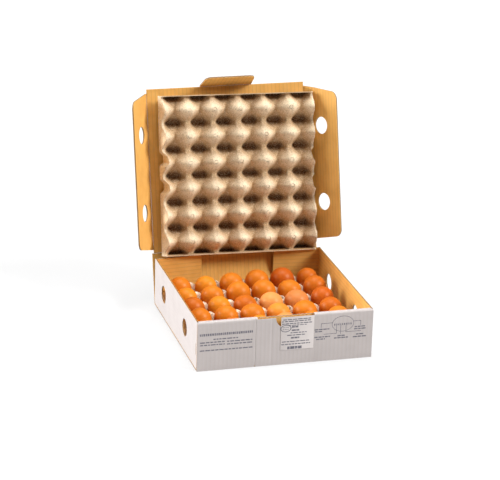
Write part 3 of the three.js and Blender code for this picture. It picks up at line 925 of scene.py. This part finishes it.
# Shells by place: one row of the tray in a line, from the back, and from the left in each.
SHELL_ROWS = (
    ("orange", "amber", "orange", "orange", "russet", "brown"),
    ("amber", "orange", "orange", "orange", "orange", "brown"),
    ("brown", "amber", "brown", "peach", "rose", "russet"),
    ("orange", "orange", "orange", "honey", "orange", "brown"),
    ("orange", "brown", "amber", "peach", "orange", "orange"),
)


def egg_measures(node):
    """Centre, axis, length and radius of an egg, read off its CAD solid."""
    points = [v.co.copy() for v in frame["nodes"][node].data.vertices]
    top = max(points, key=lambda p: p.z)
    foot = min(points, key=lambda p: p.z)
    axis = (top - foot).normalized()
    centre = (top + foot) / 2
    radius = max((p - centre - axis * (p - centre).dot(axis)).length for p in points
                 if abs((p - centre).dot(axis)) < 1 * MM)
    return centre, axis, (top - foot).length, radius


def egg_piece(place, shell, random_tone):
    """An egg spun from its outline, with its axis and place as its CAD solid has them."""
    node = "egg_" + place
    centre, axis, tall, radius = egg_measures(node)
    bm = bmesh.new()
    outline = []
    for i in range(EGG_RINGS + 1):
        turn = pi * i / EGG_RINGS
        t = -cos(turn)
        wide = radius * sin(turn) * (1 + EGG_TAPER * t) ** EGG_TAPER_POWER
        outline.append(bm.verts.new((wide if 0 < i < EGG_RINGS else 0.0, 0, tall / 2 * t)))
    edges = [bm.edges.new(pair) for pair in zip(outline, outline[1:])]
    bmesh.ops.spin(bm, geom=outline + edges, cent=(0, 0, 0), axis=(0, 0, 1), angle=2 * pi,
                   steps=EGG_SIDES, use_merge=True)
    bmesh.ops.remove_doubles(bm, verts=bm.verts[:], dist=1e-6)
    layer = bm.verts.layers.float_vector.new("shell")
    aside = Vector((random_tone * EGG_LUMP_APART, 0, 0))
    for vert in bm.verts:
        axial = vert.co.z / (tall / 2)
        vert[layer] = Vector((random_tone, 0, axial))
        vert.co *= 1 + EGG_LUMP * noise.noise(vert.co * EGG_LUMP_SCALE + aside)
    turn = Vector((0, 0, 1)).rotation_difference(axis).to_matrix().to_4x4()
    turn.translation = centre
    bmesh.ops.transform(bm, matrix=turn, verts=bm.verts[:])
    return finish_piece(bm, "shell_" + place, egg_shell(shell), "base", [node],
                        EGG_SMOOTH)


class EGGBOX_OT_eggs(Operator):
    """Makes the eggs, each in the place and size of its CAD solid"""

    bl_idname = "eggbox.eggs"
    bl_label = "Make the eggs"

    def execute(self, context):
        pick = random.Random(EGG_SEED)
        for row, shells in enumerate(SHELL_ROWS, start=1):
            for column, shell in enumerate(shells, start=1):
                egg_piece(f"r{row}_c{column}", shell, pick.random())
        return {"FINISHED"}


# ---- label and print

# Printed lines in mm: height, left and right end, and, where they differ, how tall the line is.
LABEL_LINES = ((83.6, -6, 44, 1.7), (80.2, -8, 46, 1.8), (76.0, -8, 46, 1.8), (72.6, 4, 38, 1.3),
               (58.6, 8, 37, 1.7), (54.2, 2, 34, 1.7), (42.5, -7, 42, 1.7), (37.6, -8, 44, 1.8))
LABEL_BOLD = ((69.6, 10, 23, 3.2), (63.2, 10, 23.5, 2.8), (49.2, 9, 24, 3.0), (30.8, 3, 31, 5.0))
STAMP_LINES = ((69.2, -6.5, 4.5), (65.6, -6.5, 4.5))
HEADING = (67.0, -153.5, -58.5)
NOTICE_LINES = ((58.0, -129.5, -85.5), (52.8, -153, -109), (48.0, -153, -109), (52.4, -105, -60),
                (47.4, -105, -60), (38.0, -153, -59.5))
DIAGRAM_CODE = (67.0, 87, 119)
DIAGRAM_CAPTIONS = ((60.0, 51.5, 78.5), (56.2, 52.5, 67), (60.2, 124.5, 145.5), (56.2, 123.5, 145.5),
                    (45.8, 51.5, 80), (41.8, 55, 71), (45.6, 93.5, 107), (41.8, 87.5, 113),
                    (46.0, 127.5, 141.5), (41.4, 122, 147.5))
# Ovals in mm: middle, half width, half height and width of the line.
LABEL_STAMP = (-0.6, 67.4, 9.0, 6.2, 1.3)
DIAGRAM_RING = (102.8, 67.8, 19.6, 14.2, 0.8)
RING_STEPS = 56
RING_LAP = 1.04
# How words are set, in mm: the shortest word, the longest, and the space between two.
LABEL_WORDS, BOLD_WORDS, STAMP_WORDS = (3.5, 9, 1.3), (4, 8, 0.9), (2, 4, 1.3)
HEADING_WORDS, NOTICE_WORDS = (1.8, 3.2, 1.1), (3, 9, 1.5)
CODE_WORDS, CAPTION_WORDS = (1.4, 2.2, 1.9), (3, 8, 1.2)
STAMP_TALL, HEADING_TALL, NOTICE_TALL, CODE_TALL, CAPTION_TALL = 1.1, 4.4, 2.1, 3.6, 2.2
LAST_WORD = 1.5  # no word starts this near the end of a line
# Lines from the oval to its captions, in mm: left, foot, right and head.
DIAGRAM_LEADS = ((63.2, 70.8, 84.0, 70.8), (63.2, 62.8, 63.2, 70.8), (122.6, 71.2, 135.3, 71.2),
                 (135.3, 62.6, 135.3, 71.2), (91.6, 50.6, 91.6, 65), (99.0, 48.6, 99.0, 65),
                 (108.6, 52.0, 108.6, 65), (69.0, 50.6, 91.6, 50.6), (108.6, 52.0, 136.0, 52.0))
LEAD = 0.45  # half the width of such a line
PRINT_SEED = 5
PRINT_SMOOTH = 30
INK_T = 0.09 * MM
SHEET_T = 0.35 * MM
SHEET_OUT = 0.18 * MM  # how far the middle of the sheet is before the label solid's back
SHEET_R = 1.2 * MM
SHEET_SOFT = 0.08 * MM
INK_IN = 0.15 * MM  # how far the label's ink lies behind the label solid's face


def bar(bm, x0, x1, z0, z1, y):
    """A printed bar on a face that looks towards the front."""
    size = Matrix.Diagonal((x1 - x0, INK_T, z1 - z0, 1))
    place = Matrix.Translation(((x0 + x1) / 2, y - INK_T / 2, (z0 + z1) / 2))
    bmesh.ops.create_cube(bm, size=1, matrix=place @ size)


def text_line(bm, pick, line, tall, words, y):
    """A line of greeked text: short bars of uneven length."""
    z, at, x1 = line
    shortest, longest, space = words
    while at < x1 - LAST_WORD:
        end = min(x1, at + pick.uniform(shortest, longest))
        bar(bm, at * MM, end * MM, (z - tall / 2) * MM, (z + tall / 2) * MM, y)
        at = end + space


def ring(bm, x, z, wide, tall, line, y):
    """An oval outline of short bars, printed on a face that looks towards the front."""
    for step in range(RING_STEPS):
        turn = 2 * pi * step / RING_STEPS
        slope = atan2(tall * cos(turn), -wide * sin(turn))
        run = 2 * pi / RING_STEPS * hypot(tall * cos(turn), wide * sin(turn))
        place = Matrix.Translation(((x + wide * cos(turn)) * MM, y - INK_T / 2,
                                    (z + tall * sin(turn)) * MM))
        size = Matrix.Diagonal((RING_LAP * run * MM, INK_T, line * MM, 1))
        bmesh.ops.create_cube(bm, size=1, matrix=place @ Matrix.Rotation(-slope, 4, "Y") @ size)


def label_sheet():
    """The paper label."""
    low, high = LABEL_LOW, LABEL_HIGH
    sheet = blank(rectangle(low.x, high.x, low.z, high.z), rounds=[((0, 1, 2, 3), SHEET_R)],
                  thickness=SHEET_T, soften=SHEET_SOFT)
    bmesh.ops.translate(sheet, verts=sheet.verts[:], vec=(0, high.y - SHEET_OUT, 0))
    return finish_piece(sheet, "label_sheet", label_paper(), "base", ["front_label"],
                        PRINT_SMOOTH)


def label_print(pick):
    """Lines, bold words and an oval stamp on the label."""
    bm = bmesh.new()
    y = LABEL_LOW.y + INK_IN
    for *line, tall in LABEL_LINES:
        text_line(bm, pick, line, tall, LABEL_WORDS, y)
    for *line, tall in LABEL_BOLD:
        text_line(bm, pick, line, tall, BOLD_WORDS, y)
    ring(bm, *LABEL_STAMP, y)
    for line in STAMP_LINES:
        text_line(bm, pick, line, STAMP_TALL, STAMP_WORDS, y)
    return finish_piece(bm, "label_print", printing_ink(), "base", [], PRINT_SMOOTH)


def box_print(pick):
    """A notice at the left of the front, and an oval with captions at the right."""
    bm = bmesh.new()
    text_line(bm, pick, HEADING, HEADING_TALL, HEADING_WORDS, FRONT)
    for line in NOTICE_LINES:
        text_line(bm, pick, line, NOTICE_TALL, NOTICE_WORDS, FRONT)
    ring(bm, *DIAGRAM_RING, FRONT)
    text_line(bm, pick, DIAGRAM_CODE, CODE_TALL, CODE_WORDS, FRONT)
    for x0, z0, x1, z1 in DIAGRAM_LEADS:
        bar(bm, (x0 - LEAD) * MM, (x1 + LEAD) * MM, (z0 - LEAD) * MM, (z1 + LEAD) * MM, FRONT)
    for line in DIAGRAM_CAPTIONS:
        text_line(bm, pick, line, CAPTION_TALL, CAPTION_WORDS, FRONT)
    return finish_piece(bm, "box_print", printing_ink(), "base", [], PRINT_SMOOTH)


class EGGBOX_OT_label(Operator):
    """Makes the front label and the greeked print on the box and on the label"""

    bl_idname = "eggbox.label"
    bl_label = "Make the label and the print"

    def execute(self, context):
        pick = random.Random(PRINT_SEED)
        label_sheet()
        label_print(pick)
        box_print(pick)
        return {"FINISHED"}


# ---- the stage

# Lights, in degrees: to the right of the front, over the floor, and how wide.
TOP_LIGHT = (180, 84, 45)
RIGHT_LIGHT = (56, 40, 24)
LEFT_LIGHT = (-108, 19, 40)
LIGHT_AWAY = 2
FLOOR_HALF = 6
SENSOR = 36


def looking_in(azimuth, elevation, distance, roll=0.0):
    """Place of a light or camera that looks in from a distance."""
    return (Matrix.Rotation(azimuth, 4, "Z") @ Matrix.Rotation(pi / 2 - elevation, 4, "X")
            @ Matrix.Rotation(roll, 4, "Z") @ Matrix.Translation((0, 0, distance)))


def soft_sun(name, strength, azimuth, elevation, spread):
    """A wide soft light."""
    lamp = bpy.data.lights.new(name, "SUN")
    lamp.energy = strength
    lamp.angle = radians(spread)
    holder = bpy.data.objects.new(name, lamp)
    holder.matrix_world = looking_in(radians(azimuth), radians(elevation), LIGHT_AWAY)
    bpy.context.scene.collection.objects.link(holder)


def pale_floor(scene, stage):
    """A plain pale table that glows a little."""
    bm = bmesh.new()
    bmesh.ops.create_grid(bm, x_segments=2, y_segments=2, size=FLOOR_HALF)
    mesh = bpy.data.meshes.new("floor")
    bm.to_mesh(mesh)
    bm.free()
    m = Shading("floor")
    m.put((1, 1, 1), m.shader.inputs["Emission Color"])
    m.put(stage.glow, m.shader.inputs["Emission Strength"])
    mesh.materials.append(m.finish(stage.floor, 0.9, 0.05))
    plane = bpy.data.objects.new("floor", mesh)
    scene.collection.objects.link(plane)


def white_surround(scene, stage):
    world = bpy.data.worlds.new("white surround")
    world.use_nodes = True
    world.node_tree.nodes["Background"].inputs["Color"].default_value = (1, 1, 1, 1)
    world.node_tree.nodes["Background"].inputs["Strength"].default_value = stage.sky
    scene.world = world


def point_camera(scene, stage):
    """Puts the camera at its distance from the aim, turned and rolled."""
    camera = bpy.data.objects.new("camera", bpy.data.cameras.new("camera"))
    camera.data.lens = stage.lens
    camera.data.sensor_width = SENSOR
    camera.matrix_world = (Matrix.Translation(stage.aim)
                           @ looking_in(-stage.azimuth, stage.elevation, stage.distance, stage.roll))
    scene.collection.objects.link(camera)
    scene.camera = camera


class EGGBOX_OT_stage(Operator):
    """Makes the pale floor, the soft lights and the camera"""

    bl_idname = "eggbox.stage"
    bl_label = "Make the stage"

    def execute(self, context):
        scene = context.scene
        stage = settings("stage")
        scene.view_settings.view_transform = "Standard"
        pale_floor(scene, stage)
        white_surround(scene, stage)
        soft_sun("top light", stage.top, *TOP_LIGHT)
        soft_sun("right light", stage.right, *RIGHT_LIGHT)
        soft_sun("left light", stage.left, *LEFT_LIGHT)
        point_camera(scene, stage)
        return {"FINISHED"}


# ---- add-on

class EGGBOX_PT_panel(Panel):
    """Lists the pieces and their settings"""

    bl_idname = "EGGBOX_PT_panel"
    bl_label = "Egg box"
    bl_space_type = "VIEW_3D"
    bl_region_type = "UI"
    bl_category = "Egg box"

    def draw(self, context):
        for operator in OPERATORS:
            self.layout.operator(operator.bl_idname)
        for name in SETTINGS:
            group = settings(name)
            box = self.layout.box()
            box.label(text=name.title())
            for prop in group.bl_rna.properties:
                if prop.identifier not in ("rna_type", "name"):
                    box.prop(group, prop.identifier)


OPERATORS = (EGGBOX_OT_carton, EGGBOX_OT_lid, EGGBOX_OT_trays, EGGBOX_OT_eggs, EGGBOX_OT_label,
             EGGBOX_OT_stage)
SETTINGS = {"board": EggBoxBoardSettings, "tray": EggBoxTraySettings, "eggs": EggBoxEggSettings,
            "print": EggBoxPrintSettings, "stage": EggBoxStageSettings}


def register():
    for group in SETTINGS.values():
        bpy.utils.register_class(group)
    for name, group in SETTINGS.items():
        setattr(bpy.types.Scene, "eggbox_" + name, PointerProperty(type=group))
    for cls in (*OPERATORS, EGGBOX_PT_panel):
        bpy.utils.register_class(cls)


def unregister():
    for cls in (EGGBOX_PT_panel, *reversed(OPERATORS)):
        bpy.utils.unregister_class(cls)
    for name in SETTINGS:
        delattr(bpy.types.Scene, "eggbox_" + name)
    for group in reversed(list(SETTINGS.values())):
        bpy.utils.unregister_class(group)


def main():
    register()
    bpy.ops.eggbox.carton()
    bpy.ops.eggbox.lid()
    bpy.ops.eggbox.trays()
    bpy.ops.eggbox.eggs()
    bpy.ops.eggbox.label()
    bpy.ops.eggbox.stage()


if __name__ == "__main__":
    main()
